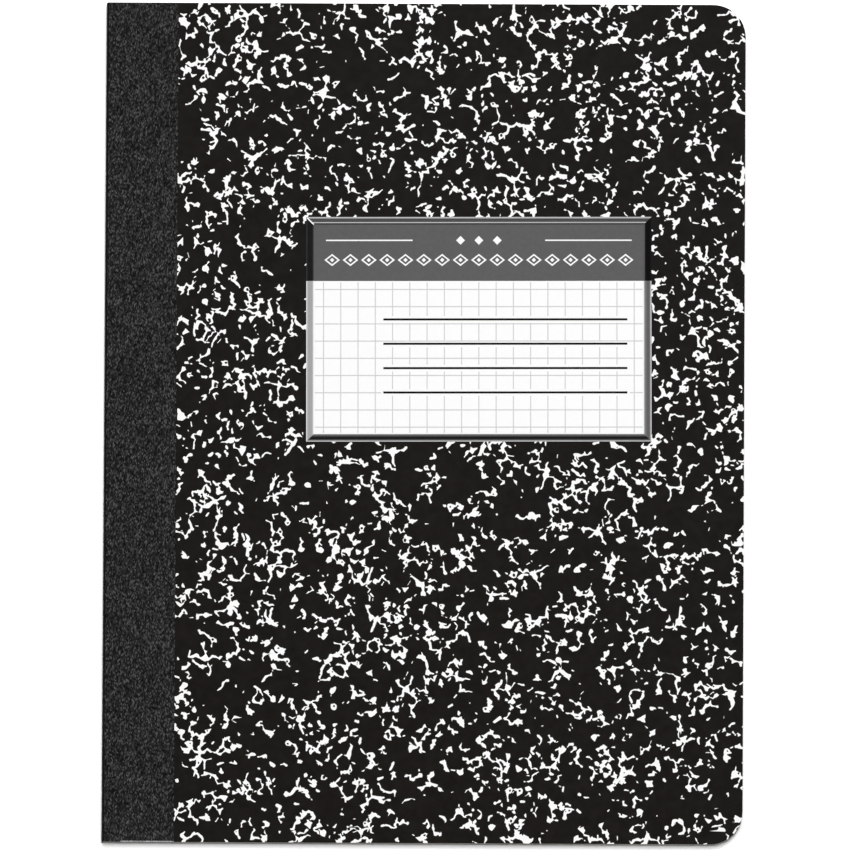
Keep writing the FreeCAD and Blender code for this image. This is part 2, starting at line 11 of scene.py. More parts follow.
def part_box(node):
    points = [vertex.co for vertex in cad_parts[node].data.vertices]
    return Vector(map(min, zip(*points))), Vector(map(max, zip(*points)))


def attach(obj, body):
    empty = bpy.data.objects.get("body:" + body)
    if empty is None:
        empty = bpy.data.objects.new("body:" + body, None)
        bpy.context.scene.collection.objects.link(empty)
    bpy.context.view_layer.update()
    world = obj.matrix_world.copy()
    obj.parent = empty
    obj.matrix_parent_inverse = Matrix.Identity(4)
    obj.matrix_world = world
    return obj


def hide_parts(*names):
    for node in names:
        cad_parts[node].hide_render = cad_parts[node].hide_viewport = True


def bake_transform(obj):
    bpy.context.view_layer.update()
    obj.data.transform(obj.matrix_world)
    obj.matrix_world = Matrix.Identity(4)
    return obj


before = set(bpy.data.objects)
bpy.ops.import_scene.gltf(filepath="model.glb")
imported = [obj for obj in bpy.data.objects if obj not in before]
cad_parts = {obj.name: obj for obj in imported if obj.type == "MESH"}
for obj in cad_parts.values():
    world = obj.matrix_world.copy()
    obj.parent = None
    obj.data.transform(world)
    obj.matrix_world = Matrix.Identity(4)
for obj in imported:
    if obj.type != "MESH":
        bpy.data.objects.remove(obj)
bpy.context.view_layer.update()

# The looks of a sewn composition notebook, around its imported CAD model.
# X runs from the spine to the fore-edge, Y from the tail to the head, Z is up. Metres.

MM = 0.001
PIXEL = 0.2942 * MM

# Places read from the frame
BLOCK_LOW, BLOCK_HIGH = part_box("page_block")
TAPE_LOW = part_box("spine_tape")[0]
COVER_LOW, COVER_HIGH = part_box("front_cover")
FLAP_LOW, FLAP_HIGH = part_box("front_tape_flap")
BACK_LOW, BACK_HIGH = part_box("back_cover")
BACK_FLAP_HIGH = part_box("back_tape_flap")[1]
FRAME_LOW, FRAME_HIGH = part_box("label_frame")

TAIL, HEAD = COVER_LOW.y, COVER_HIGH.y
FORE = COVER_HIGH.x
HINGE_X = COVER_LOW.x
TAPE_EDGE_X = FLAP_HIGH.x
MIDDLE_Z = (BLOCK_LOW.z + BLOCK_HIGH.z) / 2
TAPE_THICKNESS = FLAP_HIGH.z - FLAP_LOW.z
CORNER_RADIUS = 9.6 * MM
CORNER_STEPS = 12


def turned_corners(node):
    """A turned box's lowest corner, and its ways along and up, in the plane of the cover."""
    places = [Vector(v.co[:2]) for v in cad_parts[node].data.vertices]
    low = min(places, key=lambda p: p.x + p.y)
    right = max(places, key=lambda p: p.x - p.y)
    top = min(places, key=lambda p: p.x - p.y)
    return low, right - low, top - low


# The label is pasted on with a slight turn
LABEL_CORNER, LABEL_ALONG, LABEL_UP = turned_corners("label_card")
HEADER_CORNER = turned_corners("label_header")[0]
LABEL_WIDTH, LABEL_HEIGHT = LABEL_ALONG.length, LABEL_UP.length
LABEL_ALONG.normalize()
LABEL_UP.normalize()


def linear(grey):
    """The linear value of a shade given as the photograph shows it, from 0 to 255."""
    share = grey / 255
    return share / 12.92 if share <= 0.04045 else ((share + 0.055) / 1.055) ** 2.4


def shade(*levels):
    """A linear colour from one grey, or from a red, a green and a blue."""
    red, green, blue = levels if len(levels) == 3 else levels * 3
    return (linear(red), linear(green), linear(blue), 1)


# What the gloss of print adds to its colour in plain studio light
GLOSS = 0.0055


def ink(*levels):
    """A linear colour that shows as the given shade once the gloss of the print is added."""
    return tuple(max(0.0006, part - GLOSS) for part in shade(*levels)[:3]) + (1,)


# Materials

def feed(tree, socket, value):
    """Gives a socket a value, or links another node's socket to it."""
    if isinstance(value, bpy.types.NodeSocket):
        tree.links.new(value, socket)
    else:
        socket.default_value = value


def add_node(tree, kind, inputs=(), **settings):
    """Adds a node with its settings and pairs of inputs and values, and gives its outputs."""
    node = tree.nodes.new(f"ShaderNode{kind}")
    for setting, value in settings.items():
        setattr(node, setting, value)
    for key, value in inputs:
        feed(tree, node.inputs[key], value)
    return node.outputs


class Surface:
    """A node material in the making. Lengths are in millimetres."""

    def __init__(self, name, roughness, specular):
        self.material = bpy.data.materials.new(name)
        self.material.use_nodes = True
        self.tree = self.material.node_tree
        self.shader = self.tree.nodes["Principled BSDF"]
        self.shade("Roughness", roughness)
        self.shade("Specular IOR Level", specular)
        place = self.add("TexCoord")["Object"]
        scaled = self.add("VectorMath", (0, place), ("Scale", 1 / MM), operation="SCALE")
        self.place = scaled["Vector"]

    def add(self, kind, *inputs, **settings):
        return add_node(self.tree, kind, inputs, **settings)

    def shade(self, key, value):
        feed(self.tree, self.shader.inputs[key], value)

    def math(self, operation, *values):
        return self.add("Math", *enumerate(values), operation=operation)[0]

    def noise(self, length, detail=3, stretch=(1, 1, 1)):
        place = self.add("Mapping", ("Vector", self.place), ("Scale", stretch))["Vector"]
        inputs = (("Vector", place), ("Scale", 1 / length), ("Detail", detail))
        return self.add("TexNoise", *inputs)["Fac"]

    def cell(self, *numbers):
        """A random number for each cell of a lattice."""
        place = self.add("CombineXYZ", *enumerate(numbers))[0]
        return self.add("TexWhiteNoise", ("Vector", place))["Value"]

    def colour(self, factor, *stops):
        """The colour, from stops that each give a place from 0 to 1 and a colour."""
        ramp = self.tree.nodes.new("ShaderNodeValToRGB")
        elements = ramp.color_ramp.elements
        while len(elements) < len(stops):
            elements.new(0.5)
        for element, (position, value) in zip(elements, stops):
            element.position = position
            element.color = value
        feed(self.tree, ramp.inputs["Fac"], factor)
        self.shade("Base Color", ramp.outputs["Color"])

    def relief(self, height, depth):
        bump = self.add("Bump", ("Distance", depth * MM), ("Height", height))
        self.shade("Normal", bump["Normal"])


PRINT_ROUGHNESS = 0.42


def make_material(
    name, low, high, grain, roughness, specular=0.08, relief=0.0, relief_grain=0.3,
    stretch=(1, 1, 1),
):
    """A surface whose colour wanders between two shades, with a fine relief."""
    surface = Surface(name, roughness, specular)
    surface.colour(surface.noise(grain, 4, stretch), (0.3, low), (0.7, high))
    if relief:
        surface.relief(surface.noise(relief_grain, 3, stretch), relief)
    return surface.material


def printed(name, *levels, spread=2, roughness=PRINT_ROUGHNESS):
    """Printed ink of one shade, a little uneven, which also carries the label frame's painted
    light and shade.
    """
    low = ink(*(max(0, level - spread) for level in levels))
    high = ink(*(min(255, level + spread) for level in levels))
    return make_material(name, low, high, 1.2, roughness, relief=0.004)


INK_BLACK = make_material(
    "ink_black", ink(29, 27, 25), ink(35, 33, 31), 2.5, PRINT_ROUGHNESS,
    relief=0.01, relief_grain=0.6,
)
INK_WHITE = printed("ink_white", 250, 250, 249)
LABEL_PAPER = printed("label_paper", 251, spread=1, roughness=0.55)
BOARD_CORE = make_material(
    "board_core", shade(58, 56, 54), shade(100, 97, 93), 0.35, 0.85,
    relief=0.03, relief_grain=0.25, stretch=(1, 1, 4),
)
LINING = make_material(
    "lining_paper", shade(220, 218, 212), shade(230, 228, 222), 3, 0.8,
    relief=0.006, relief_grain=0.4,
)
SHEETS = make_material(
    "sheet_paper", shade(222, 220, 213), shade(238, 236, 230), 0.35, 0.85,
    relief=0.006, relief_grain=0.2, stretch=(1, 1, 5),
)
RULING = printed("ruling_blue", 158, 176, 196, roughness=0.8)
THREAD = make_material(
    "thread", shade(210, 208, 200), shade(236, 234, 228), 0.2, 0.7,
    relief=0.05, relief_grain=0.15,
)
CLOTH_EDGE = make_material(
    "cloth_raw_edge", shade(96), shade(206), 0.5, 0.9,
    relief=0.03, relief_grain=0.2, stretch=(1, 0.4, 1),
)

CLOTH_THREAD = 0.28
CLOTH_FLOAT = 2.0


def make_cloth(name, depth):
    """Charcoal twill: warp floats of mixed greys, each column shifted by a thread.

    The pattern runs on round the spine. depth is how far painted shade darkens it, from 0 to 1.
    """
    cloth = Surface(name, 0.82, 0.1)
    x, y, z = cloth.add("SeparateXYZ", (0, cloth.place))
    waver = cloth.math("MULTIPLY", cloth.noise(2.5, 2), 1.2)
    across = cloth.math("DIVIDE", cloth.math("ADD", cloth.math("ADD", x, z), waver), CLOTH_THREAD)
    along = cloth.math("DIVIDE", cloth.math("ADD", y, waver), CLOTH_THREAD)
    column = cloth.math("FLOOR", across)
    shifted = cloth.math("DIVIDE", cloth.math("ADD", along, column), CLOTH_FLOAT)
    row = cloth.math("FLOOR", shifted)
    fibre = cloth.math("MULTIPLY", cloth.noise(0.22, 3, (1, 0.4, 1)), 0.5)
    blotch = cloth.math("MULTIPLY", cloth.noise(9, 3), 0.3)
    tone = cloth.math("ADD", cloth.math("ADD", cloth.cell(column, row), fibre), blotch)
    tone = cloth.math("SUBTRACT", tone, 0.4)
    tone = cloth.math("MULTIPLY", tone, 1 - depth)
    cloth.colour(
        tone, (0.0, ink(24)), (0.3, ink(34)), (0.6, ink(45)), (0.85, ink(62)), (1.0, ink(88)),
    )
    crowns = []
    for place in (across, shifted):
        side = cloth.math("SUBTRACT", cloth.math("FRACT", place), 0.5)
        crowns.append(cloth.math("MULTIPLY", side, side))
    hollow = cloth.math("ADD", *crowns)
    height = cloth.math("SUBTRACT", cloth.math("MULTIPLY", fibre, 0.8), hollow)
    cloth.relief(height, 0.05)
    return cloth.material


CLOTH = make_cloth("cloth_tape", 0.0)
# The fold's cloth is nearly black: painted shade where the tape turns round the spine
CLOTH_FOLD_PAINTED_SHADE = make_cloth("cloth_fold_painted_shade", 0.9)


# Meshes

def make_object(name, vertices, faces, materials, face_materials=None, smooth=False):
    """An object from corners in metres and faces."""
    mesh = bpy.data.meshes.new(name)
    mesh.from_pydata([tuple(v) for v in vertices], [], faces)
    for material in materials:
        mesh.materials.append(material)
    if face_materials is not None:
        mesh.polygons.foreach_set("material_index", face_materials)
    if smooth:
        mesh.polygons.foreach_set("use_smooth", [True] * len(mesh.polygons))
    mesh.update()
    item = bpy.data.objects.new(name, mesh)
    bpy.context.scene.collection.objects.link(item)
    return item


def merge_corners(item):
    """Joins corners that lie in one place, and turns all faces outwards."""
    work = bmesh.new()
    work.from_mesh(item.data)
    bmesh.ops.remove_doubles(work, verts=work.verts, dist=0.001 * MM)
    bmesh.ops.recalc_face_normals(work, faces=work.faces)
    work.to_mesh(item.data)
    work.free()


def add_box(vertices, faces, low, high):
    """Adds a box between two corners to a mesh in the making."""
    start = len(vertices)
    vertices += [(x, y, z) for z in (low[2], high[2]) for y in (low[1], high[1])
                 for x in (low[0], high[0])]
    sides = ((0, 2, 3, 1), (4, 5, 7, 6), (0, 1, 5, 4), (1, 3, 7, 5), (3, 2, 6, 7), (2, 0, 4, 6))
    faces += [tuple(start + i for i in side) for side in sides]


# The ways from the middle of a rectangle to its corners, anticlockwise, and the sides between
RING = ((-1, -1), (1, -1), (1, 1), (-1, 1))
RING_SIDES = tuple(zip(RING, RING[1:] + RING[:1]))


def ring_faces(low, high, count):
    """The faces between two rings of corners, each given by the number it starts at."""
    sides = [(i, (i + 1) % count) for i in range(count)]
    return [(low + i, low + j, high + j, high + i) for i, j in sides]


def cover_outline(left, right, tail, head, radius):
    """A board's outline from above, anticlockwise, with two rounded fore corners."""
    points = [(left, tail)]
    for middle_y, start in ((tail + radius, -math.pi / 2), (head - radius, 0)):
        for i in range(CORNER_STEPS + 1):
            angle = start + i * math.pi / 2 / CORNER_STEPS
            points.append((
                right - radius + radius * math.cos(angle),
                middle_y + radius * math.sin(angle),
            ))
    points.append((left, head))
    return points


def make_slab(name, outline_at, low, high, material, ease):
    """A flat sheet with eased edges. outline_at gives its outline at an inset."""
    levels = [(low, ease), (low + ease, 0), (high - ease, 0), (high, ease)]
    vertices = []
    for z, inset in levels:
        vertices += [(x, y, z) for x, y in outline_at(inset)]
    count = len(vertices) // len(levels)
    faces = [tuple(reversed(range(count)))]
    top = (len(levels) - 1) * count
    for start in range(0, top, count):
        faces += ring_faces(start, start + count, count)
    faces.append(tuple(range(top, top + count)))
    return make_object(name, vertices, faces, [material])


# The marble print

# All its measures are in millimetres. Pairs are the least and the most.
MARBLE_STEP = 0.15
# The smallest piece of white, and how far its outline may be straightened
LEAST_AREA = 0.09
SMOOTHING = 0.06
# How far past its edges the print is laid out
OVERRUN = 4
MARBLE = {
    "big_drop": (3.6, 8.2),
    "small_drop": (1.0, 1.7),
    "small_share": 0.35,
    "small_start": 0.3,
    "tries_per_mm2": 2.9,
    "crowding": 0.52,
    "evenness": 0.6,
    "sliver": 4,
    "side": (0.15, 14),
    "kept_sides": 0.205,
    "kept_spread": 0.13,
    "spread_length": 5.0,
    "short_bonus": 0.35,
    "vein": (0.17, 0.4),
    "corner": (0.22, 0.62),
    "lump_share": 0.22,
    "lump": (0.45, 0.85),
    "lump_reach": (0.5, 1.4),
    "lump_tip": (0.12, 0.35),
    "bend": 0.9,
    "bow": 0.12,
    "wander": 0.55,
    "uneven": (0.65, 1.35),
    "part_share": 0.25,
    "spur_share": 0.45,
    "spur": (0.7, 1.9),
    "spur_tip": (0.1, 0.22),
    "bit_share": 0.15,
    "bit": (0.13, 0.27),
    "bit_reach": (0.025, 0.05, 0.25, 0.45, 0.6),
    "speck": (0.12, 0.26),
    "speck_reach": (0, 0, 0.1, 0.4),
    "specks_per_mm2": 0.008,
    "joining": 0.07,
    "thinning": 0.08,
    "hole_share": 0.25,
    "hole": (0.2, 0.45),
    "rough": ((0.10, 0.75), (0.035, 0.38)),
    "fleck_core": 1.6,
    "fleck_tip": 1.8,
    "fleck_bend": 1.1,
    "fleck_middle": (0.4, 0.9),
    "fleck_arm": (0.16, 0.36),
    "fleck_wander": 0.7,
    "fleck_knot_share": 0.12,
    "fleck_knot": (0.5, 0.9),
    "fleck_spur_share": 0.25,
    "fleck_spur_tip": (0.1, 0.25),
    "fleck_room": 2.0,
    "fleck_hush": 0.3,
}


# Brings smooth noise to about unit strength
NOISE_LEVEL = 1.4


def smooth_noise(draws, shape, length):
    """Smooth noise of about unit strength, from a lattice with a spacing in grid steps."""
    rows, columns = shape
    lattice = draws.standard_normal((int(rows / length) + 3, int(columns / length) + 3))

    def spread(count):
        at = np.arange(count) / length
        low = at.astype(int)
        share = at - low
        return low, share * share * (3 - 2 * share)

    row, down = spread(rows)
    column, across = spread(columns)
    down = down[:, None]
    first, second = (
        lattice[row + k][:, column] * (1 - across) + lattice[row + k][:, column + 1] * across
        for k in (0, 1)
    )
    return (first * (1 - down) + second * down) * NOISE_LEVEL


def strew_drops(draw, width, height):
    """Middles of the drops of black, big and small, that push the white into veins."""
    tries = int(MARBLE["tries_per_mm2"] * width * height)
    xs, ys, radii = np.zeros((3, tries))
    count = 0
    for attempt in range(tries):
        small = draw.random() < MARBLE["small_share"] and attempt > tries * MARBLE["small_start"]
        radius = draw.uniform(*MARBLE["small_drop" if small else "big_drop"])
        x = draw.uniform(-OVERRUN, width + OVERRUN)
        y = draw.uniform(-OVERRUN, height + OVERRUN)
        gaps = np.hypot(xs[:count] - x, ys[:count] - y)
        if (gaps > (radii[:count] + radius) * MARBLE["crowding"]).all():
            xs[count], ys[count], radii[count] = x, y, radius
            count += 1
    return xs[:count], ys[:count]


def cells_between(xs, ys):
    """The corners where three drops meet, and the sides that join them."""
    points = [Vector(point) for point in zip(xs, ys)]
    vertices, _, triangles, _, _, _ = delaunay_2d_cdt(points, [], [], 0, 1e-5)
    at = np.array([tuple(v) for v in vertices])
    triangles = np.array(triangles)
    a, b, c = (at[triangles[:, i]] for i in range(3))
    turns = ((a, b, c), (b, c, a), (c, a, b))
    area = 2 * sum(p[:, 0] * (q[:, 1] - r[:, 1]) for p, q, r in turns)
    x = sum((p ** 2).sum(1) * (q[:, 1] - r[:, 1]) for p, q, r in turns) / area
    y = -sum((p ** 2).sum(1) * (q[:, 0] - r[:, 0]) for p, q, r in turns) / area
    middle = (a + b + c) / 3
    even = np.stack([x, y], 1)
    evenness = MARBLE["evenness"]
    corners = evenness * even + (1 - evenness) * middle
    far = np.hypot(*(even - middle).T) > MARBLE["sliver"]
    corners[far] = middle[far]
    waiting = {}
    sides = []
    for number, (i, j, k) in enumerate(triangles):
        for side in ((i, j), (j, k), (k, i)):
            key = (min(side), max(side))
            if key in waiting:
                sides.append((waiting.pop(key), number))
            else:
                waiting[key] = number
    return corners, sides


class Ink:
    """A height map of the white of the print, in millimetres, above 0 where it is white."""

    def __init__(self, width, height):
        self.shape = (int(height / MARBLE_STEP) + 2, int(width / MARBLE_STEP) + 2)
        self.sum = np.zeros(self.shape)

    def window(self, left, right, low, high):
        columns = slice(max(0, int(left / MARBLE_STEP)), max(0, int(right / MARBLE_STEP) + 2))
        rows = slice(max(0, int(low / MARBLE_STEP)), max(0, int(high / MARBLE_STEP) + 2))
        x = np.arange(self.shape[1])[columns] * MARBLE_STEP
        y = np.arange(self.shape[0])[rows][:, None] * MARBLE_STEP
        return (rows, columns), x, y

    def stroke(self, start, end, start_half, end_half):
        """A stroke from start to end, with its half width at each."""
        joining = MARBLE["joining"]
        reach = max(start_half, end_half) + 5 * joining
        low, high = np.minimum(start, end) - reach, np.maximum(start, end) + reach
        place, x, y = self.window(low[0], high[0], low[1], high[1])
        if not x.size or not y.size:
            return
        dx, dy = end[0] - start[0], end[1] - start[1]
        square = dx * dx + dy * dy
        along = 0.0
        if square > 1e-9:
            along = np.clip(((x - start[0]) * dx + (y - start[1]) * dy) / square, 0, 1)
        gap = np.hypot(x - start[0] - along * dx, y - start[1] - along * dy)
        half = start_half + (end_half - start_half) * along
        self.sum[place] += np.exp(np.minimum((half - gap) / joining, 30))

    def heights(self):
        joining = MARBLE["joining"]
        return joining * np.log(self.sum + 1e-9) - joining / 2


def toward(angle, reach):
    """The step that leads a distance away at an angle."""
    return reach * np.array([math.cos(angle), math.sin(angle)])


def paint_spur(draw, ink, start, half, angle, tip):
    """A short spur that tapers away from a place on a vein."""
    end = start + toward(angle, draw.uniform(*MARBLE["spur"]))
    ink.stroke(start, end, half * 0.8, draw.uniform(*tip))


def paint_side(draw, ink, a, b, corner_halves, chance):
    """One side of the network: a vein, part of one, or the bits that are left of it."""
    run = b - a
    length = math.hypot(*run)
    normal = np.array([-run[1], run[0]]) / length
    steps = max(1, round(length / MARBLE["bend"]))
    bow = draw.uniform(-MARBLE["bow"], MARBLE["bow"]) * length
    line = []
    for k in range(steps + 1):
        t = k / steps
        wander = draw.uniform(-1, 1) * MARBLE["wander"] if 0 < k < steps else 0
        line.append(a + run * t + normal * (bow * 4 * t * (1 - t) + wander))
    if draw.random() < chance:
        half = draw.uniform(*MARBLE["vein"])
        halves = [half * draw.uniform(*MARBLE["uneven"]) for _ in line]
        widest = max(half, length / 2)
        halves[0] = min(corner_halves[0], widest)
        halves[-1] = min(corner_halves[1], widest)
        first, last = 0, steps
        if draw.random() < MARBLE["part_share"] and steps >= 2:
            if draw.random() < 0.5:
                first = draw.randint(1, steps - 1)
            else:
                last = draw.randint(1, steps - 1)
        for k in range(first, last):
            ink.stroke(line[k], line[k + 1], halves[k], halves[k + 1])
        if draw.random() < MARBLE["spur_share"]:
            k = draw.randint(first, last)
            turn = draw.choice((0, math.pi)) + draw.uniform(-0.7, 0.7)
            angle = math.atan2(normal[1], normal[0]) + turn
            paint_spur(draw, ink, line[k], halves[k], angle, MARBLE["spur_tip"])
        return first == 0, last == steps
    if draw.random() < MARBLE["bit_share"]:
        for _ in range(draw.randint(1, 2)):
            middle = a + run * draw.uniform(0.1, 0.9) + normal * draw.uniform(-0.4, 0.4)
            angle = math.atan2(run[1], run[0]) + draw.uniform(-0.5, 0.5)
            half_run = toward(angle, draw.choice(MARBLE["bit_reach"]))
            half = draw.uniform(*MARBLE["bit"])
            ink.stroke(middle - half_run, middle + half_run, half, half * draw.uniform(0.7, 1.1))
    return False, False


def paint_lump(draw, ink, middle, half):
    """An uneven lump: a few short strokes that taper away from a middle."""
    for _ in range(draw.randint(2, 4)):
        angle = draw.uniform(0, 2 * math.pi)
        tip = middle + toward(angle, draw.uniform(*MARBLE["lump_reach"]))
        ink.stroke(middle, tip, half * draw.uniform(0.8, 1.3), draw.uniform(*MARBLE["lump_tip"]))


def fleck_middle(outline):
    """The middle of a fleck: the mean of its inner corners, or of all where it is cut off."""
    middle = outline.mean(0)
    gaps = np.hypot(*(outline - middle).T)
    inner = outline[gaps < MARBLE["fleck_core"]]
    return inner.mean(0) if len(inner) > 1 else middle


def paint_fleck(draw, ink, outline):
    """A fleck of the CAD print, as a lump with a wandering vein along each arm."""
    middle = fleck_middle(outline)
    gaps = np.hypot(*(outline - middle).T)
    outermost = (gaps > np.roll(gaps, 1)) & (gaps >= np.roll(gaps, -1))
    tips = outline[outermost & (gaps > MARBLE["fleck_tip"])]
    core = draw.uniform(*MARBLE["fleck_middle"])
    paint_lump(draw, ink, middle, core)
    for tip in tips:
        run = tip - middle
        length = math.hypot(*run)
        normal = np.array([-run[1], run[0]]) / length
        steps = max(2, round(length / MARBLE["fleck_bend"]))
        bow = draw.uniform(-0.1, 0.1) * length
        half = draw.uniform(*MARBLE["fleck_arm"])
        before, before_half = middle, core * 0.8
        for k in range(1, steps + 1):
            t = k / steps
            wander = draw.uniform(-1, 1) * MARBLE["fleck_wander"] if k < steps else 0
            place = middle + run * t + normal * (bow * 4 * t * (1 - t) + wander)
            place_half = half * draw.uniform(0.6, 1.5)
            if draw.random() < MARBLE["fleck_knot_share"]:
                place_half = draw.uniform(*MARBLE["fleck_knot"])
            ink.stroke(before, place, before_half, place_half)
            if draw.random() < MARBLE["fleck_spur_share"]:
                angle = draw.uniform(0, 2 * math.pi)
                paint_spur(draw, ink, place, place_half, angle, MARBLE["fleck_spur_tip"])
            before, before_half = place, place_half


def cad_flecks(node, face_z):
    """Outlines, in metres, of the flecks of a CAD marbling, from its faces at one height."""
    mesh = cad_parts[node].data
    rims, places = {}, {}
    for polygon in mesh.polygons:
        corners = [mesh.vertices[i].co for i in polygon.vertices]
        if all(abs(corner.z - face_z) < 1e-6 for corner in corners):
            keys = [(round(c.x * 1e7), round(c.y * 1e7)) for c in corners]
            places.update((key, (c.x, c.y)) for key, c in zip(keys, corners))
            for pair in zip(keys, keys[1:] + keys[:1]):
                if rims.pop(pair[::-1], None) is None:
                    rims[pair] = True
    after = dict(rims.keys())
    outlines = []
    while after:
        start = next(iter(after))
        loop = [start]
        following = after.pop(start)
        while following != start and following in after:
            loop.append(following)
            following = after.pop(following)
        outlines.append(np.array([places[key] for key in loop]))
    return outlines


def marble_heights(seed, width, height, flecks):
    """The height map of the white of one cover's print."""
    draw = random.Random(seed)
    draws = np.random.default_rng(seed)
    corners, sides = cells_between(*strew_drops(draw, width, height))
    crowd = smooth_noise(
        draws, (int(height) + 12, int(width) + 12), MARBLE["spread_length"]
    )
    ink = Ink(width, height)
    middles = np.array([fleck_middle(outline) for outline in flecks])
    halves = []
    lumps = set()
    for corner in range(len(corners)):
        lump = draw.random() < MARBLE["lump_share"]
        halves.append(draw.uniform(*MARBLE["lump" if lump else "corner"]))
        if lump:
            lumps.add(corner)
    joined = set()
    shortest, longest = MARBLE["side"]
    for i, j in sides:
        a, b = corners[i], corners[j]
        length = math.hypot(*(b - a))
        if not shortest < length < longest:
            continue
        middle = (a + b) / 2
        row = min(max(int(middle[1] + 5), 0), crowd.shape[0] - 1)
        column = min(max(int(middle[0] + 5), 0), crowd.shape[1] - 1)
        chance = (
            MARBLE["kept_sides"]
            + MARBLE["kept_spread"] * crowd[row, column]
            + MARBLE["short_bonus"] * math.exp(-length / 1.2)
        )
        if len(middles) and np.hypot(*(middles - middle).T).min() < MARBLE["fleck_room"]:
            chance *= MARBLE["fleck_hush"]
        ends = paint_side(draw, ink, a, b, (halves[i], halves[j]), chance)
        joined.update(corner for corner, end in zip((i, j), ends) if end)
    for _ in range(int(MARBLE["specks_per_mm2"] * width * height)):
        middle = np.array([draw.uniform(0, width), draw.uniform(0, height)])
        angle = draw.uniform(0, 2 * math.pi)
        half_run = toward(angle, draw.choice(MARBLE["speck_reach"]))
        half = draw.uniform(*MARBLE["speck"])
        ink.stroke(middle - half_run, middle + half_run, half, half)
    for corner in sorted(joined & lumps):
        paint_lump(draw, ink, corners[corner], halves[corner])
    for outline in flecks:
        paint_fleck(draw, ink, outline)
    heights = ink.heights()
    rough = sum(
        strength * smooth_noise(draws, heights.shape, length / MARBLE_STEP)
        for strength, length in MARBLE["rough"]
    )
    heights += rough - MARBLE["thinning"]
    for corner in sorted(joined):
        if corner in lumps and draw.random() < MARBLE["hole_share"]:
            x0, y0 = corners[corner] + [draw.uniform(-0.3, 0.3), draw.uniform(-0.3, 0.3)]
            radius = draw.uniform(*MARBLE["hole"])
            squeeze = draw.uniform(0.7, 1.3)
            place, x, y = ink.window(x0 - 1.5, x0 + 1.5, y0 - 1.5, y0 + 1.5)
            if x.size and y.size:
                gap = np.hypot(x - x0, (y - y0) * squeeze) - radius
                heights[place] = np.minimum(heights[place], gap)
    return heights


def contour_loops(heights, step):
    """Closed outlines of where a height map is above 0, white on the left of each."""
    padded = np.pad(heights, 1, constant_values=-step)
    above = padded > 0
    case = (
        above[:-1, :-1] * 1 + above[:-1, 1:] * 2 + above[1:, 1:] * 4 + above[1:, :-1] * 8
    )
    rows, columns = np.nonzero((case > 0) & (case < 15))
    width = padded.shape[1]

    # A grid edge's number: its lower end, twice over, plus 1 if it is upright
    edges = (0, 3, 2 * width, 1)
    ways = {
        1: ((0, 3),), 2: ((1, 0),), 3: ((1, 3),), 4: ((2, 1),), 6: ((2, 0),),
        7: ((2, 3),), 8: ((3, 2),), 9: ((0, 2),), 11: ((1, 2),), 12: ((3, 1),),
        13: ((0, 1),), 14: ((3, 0),), 5: ((0, 3), (2, 1)), 10: ((1, 0), (3, 2)),
    }
    after = {}
    for row, column in zip(rows.tolist(), columns.tolist()):
        for start, end in ways[int(case[row, column])]:
            corner = 2 * (row * width + column)
            after[corner + edges[start]] = corner + edges[end]
    loops = []
    while after:
        start, following = after.popitem()
        loop = [start]
        while following != start:
            loop.append(following)
            following = after.pop(following)
        loops.append(np.array(loop))
    flat = padded.ravel()
    outlines = []
    for loop in loops:
        upright = loop % 2
        first = loop // 2
        second = np.where(upright, first + width, first + 1)
        share = flat[first] / (flat[first] - flat[second])
        x = first % width + np.where(upright, 0, share) - 1
        y = first // width + np.where(upright, share, 0) - 1
        outlines.append(np.stack([x, y], 1) * step)
    return outlines


def thin_out(outline, tolerance):
    """Drops the points of a closed outline that lie near the line between their neighbours."""
    kept = outline
    for turn in range(10):
        count = len(kept)
        if count < 5:
            break
        before, after = np.roll(kept, 1, 0), np.roll(kept, -1, 0)
        chord = after - before
        length = np.hypot(*chord.T) + 1e-12
        off = np.abs(chord[:, 0] * (kept - before)[:, 1] - chord[:, 1] * (kept - before)[:, 0])
        loose = off / length < tolerance
        loose[turn % 2::2] = False
        if loose.sum() > count - 4:
            break
        kept = kept[~loose]
    return kept


def signed_area(outline):
    x, y = outline.T
    return (x * np.roll(y, -1) - y * np.roll(x, -1)).sum() / 2


def holds(outline, point):
    """Whether a closed outline goes round a point."""
    x, y = outline.T
    x1, y1 = np.roll(x, -1), np.roll(y, -1)
    crosses = (y > point[1]) != (y1 > point[1])
    at = x + (point[1] - y) * (x1 - x) / np.where(y1 == y, 1, y1 - y)
    return bool((crosses & (point[0] < at)).sum() % 2)


def make_film(name, outlines, low, high, material):
    """A thin film over the areas that outlines bound, holes left open."""
    outer = [o for o in outlines if signed_area(o) > 0]
    holes = [o for o in outlines if signed_area(o) <= 0]
    lows, highs = np.array([(o.min(0), o.max(0)) for o in outer]).transpose(1, 0, 2)
    areas = np.array([signed_area(o) for o in outer])
    inside = [[] for _ in outer]
    for hole in holes:
        near = np.nonzero(((lows < hole[0]) & (highs > hole[0])).all(1))[0]
        found = [k for k in near if holds(outer[k], hole[0])]
        if found:
            inside[min(found, key=lambda k: areas[k])].append(hole)
    vertices, faces = [], []
    for outline, its_holes in zip(outer, inside):
        loops = [outline, *its_holes]
        start = len(vertices)
        total = sum(len(loop) for loop in loops)
        for z in (low, high):
            for loop in loops:
                vertices += [(x, y, z) for x, y in loop]
        caps = tessellate_polygon([[Vector((x, y, 0)) for x, y in loop] for loop in loops])
        for a, b, c in caps:
            faces.append((start + c, start + b, start + a))
            faces.append((start + total + a, start + total + b, start + total + c))
        for loop in loops:
            faces += ring_faces(start, start + total, len(loop))
            start += len(loop)
    return make_object(name, vertices, faces, [material])


